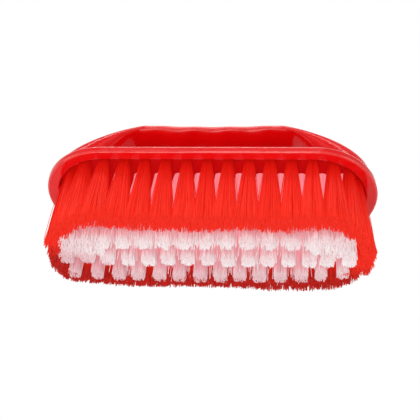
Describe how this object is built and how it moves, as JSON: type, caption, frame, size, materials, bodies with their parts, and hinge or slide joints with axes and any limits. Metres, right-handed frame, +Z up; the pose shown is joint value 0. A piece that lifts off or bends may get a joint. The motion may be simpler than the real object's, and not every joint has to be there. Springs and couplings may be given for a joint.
{
  "type": "laundry brush",
  "caption": "Oval scrubbing brush with an arched handle over its cover, and a ring of coloured tufts around rows of white ones.",
  "frame": {"origin": "under the middle of the brush, in the plane of the cut bristle tips that it stands on", "axes": "+X along the handle and the long side of the plate, +Y to the back across it, +Z up from the bristle tips to the handle"},
  "size_m": [0.16, 0.071, 0.07],
  "materials": {
    "gloss_red_plastic": "glossy moulded plastic",
    "block_red_plastic": "semi-gloss moulded plastic",
    "red_bristle": "satin filament",
    "white_bristle": "satin filament"
  },
  "bodies": {
    "root": {"handle_shell": "gloss_red_plastic", "tuft_block": "block_red_plastic", "red_tufts_front": "red_bristle", "red_tufts_back": "red_bristle", "red_tufts_left_end": "red_bristle", "red_tufts_right_end": "red_bristle", "white_tufts_front_row": "white_bristle", "white_tufts_middle_row": "white_bristle", "white_tufts_back_row": "white_bristle"}
  },
  "joints": []
}
